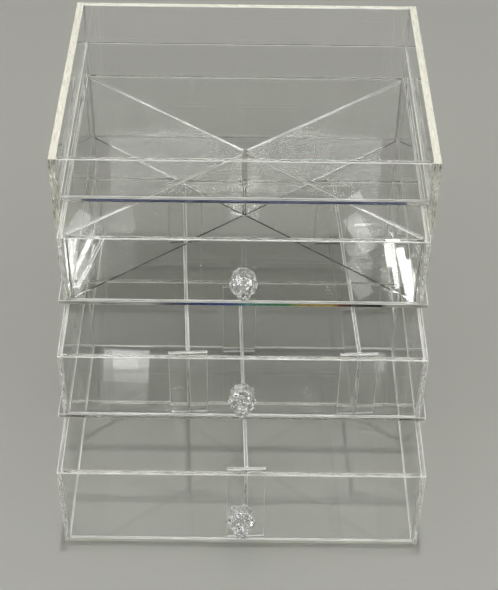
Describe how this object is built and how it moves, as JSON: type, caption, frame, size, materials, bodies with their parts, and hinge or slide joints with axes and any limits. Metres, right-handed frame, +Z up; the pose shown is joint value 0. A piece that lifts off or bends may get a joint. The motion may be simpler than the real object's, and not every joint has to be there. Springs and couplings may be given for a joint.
{
  "type": "acrylic makeup organizer drawers",
  "caption": "Clear acrylic cosmetics organizer: a case with an open top tray over drawers with faceted crystal knobs, a cross divider and sliding dividers.",
  "frame": {"origin": "middle of the case's underside, which stands on the table; the drawers' pull-out isn't counted", "axes": "+X across the case to its right as seen from the front, +Y towards the back, so the drawers pull out along -Y, +Z up"},
  "size_m": [0.3, 0.4096, 0.272],
  "materials": {
    "clear_case_sheet": "clear polished acrylic sheet, 6, 5 and 4 mm, with pale sawn edges",
    "clear_drawer_sheet": "clear polished acrylic sheet, 4 mm, with pale sawn edges",
    "clear_divider_sheet": "clear polished acrylic sheet, 3 mm, with flame-polished edges",
    "crystal_knob": "clear moulded acrylic, cut-crystal facets"
  },
  "bodies": {
    "case": {"left_side_panel": "clear_case_sheet", "right_side_panel": "clear_case_sheet", "back_panel": "clear_case_sheet", "base_panel": "clear_case_sheet", "tray_floor": "clear_case_sheet", "tray_front_rail": "clear_case_sheet"},
    "top_drawer": {"top_drawer_floor": "clear_drawer_sheet", "top_drawer_left_wall": "clear_drawer_sheet", "top_drawer_right_wall": "clear_drawer_sheet", "top_drawer_front": "clear_drawer_sheet", "top_drawer_back": "clear_drawer_sheet", "top_drawer_knob": "crystal_knob", "cross_divider_slotted_below": "clear_divider_sheet", "cross_divider_slotted_above": "clear_divider_sheet"},
    "middle_drawer": {"middle_drawer_floor": "clear_drawer_sheet", "middle_drawer_left_wall": "clear_drawer_sheet", "middle_drawer_right_wall": "clear_drawer_sheet", "middle_drawer_front": "clear_drawer_sheet", "middle_drawer_back": "clear_drawer_sheet", "middle_drawer_knob": "crystal_knob"},
    "bottom_drawer": {"bottom_drawer_floor": "clear_drawer_sheet", "bottom_drawer_left_wall": "clear_drawer_sheet", "bottom_drawer_right_wall": "clear_drawer_sheet", "bottom_drawer_front": "clear_drawer_sheet", "bottom_drawer_back": "clear_drawer_sheet", "bottom_drawer_knob": "crystal_knob"},
    "middle_left_divider": {"middle_left_divider_web": "clear_divider_sheet", "middle_left_divider_front_plate": "clear_divider_sheet", "middle_left_divider_back_plate": "clear_divider_sheet"},
    "middle_right_divider": {"middle_right_divider_web": "clear_divider_sheet", "middle_right_divider_front_plate": "clear_divider_sheet", "middle_right_divider_back_plate": "clear_divider_sheet"},
    "bottom_divider": {"bottom_divider_web": "clear_divider_sheet", "bottom_divider_front_plate": "clear_divider_sheet", "bottom_divider_back_plate": "clear_divider_sheet"}
  },
  "joints": [
    {"name": "top_drawer_slide", "type": "slide", "parent": "case", "child": "top_drawer", "axis": [0, -1, 0], "range_m": [-0.042, 0.148]},
    {"name": "middle_drawer_slide", "type": "slide", "parent": "case", "child": "middle_drawer", "axis": [0, -1, 0], "range_m": [-0.098, 0.092]},
    {"name": "bottom_drawer_slide", "type": "slide", "parent": "case", "child": "bottom_drawer", "axis": [0, -1, 0], "range_m": [-0.154, 0.036]},
    {"name": "middle_left_divider_slide", "type": "slide", "parent": "middle_drawer", "child": "middle_left_divider", "axis": [1, 0, 0], "range_m": [-0.068, 0.0265]},
    {"name": "middle_right_divider_slide", "type": "slide", "parent": "middle_drawer", "child": "middle_right_divider", "axis": [1, 0, 0], "range_m": [-0.063, 0.0325]},
    {"name": "bottom_divider_slide", "type": "slide", "parent": "bottom_drawer", "child": "bottom_divider", "axis": [1, 0, 0], "range_m": [-0.1185, 0.1185]}
  ]
}
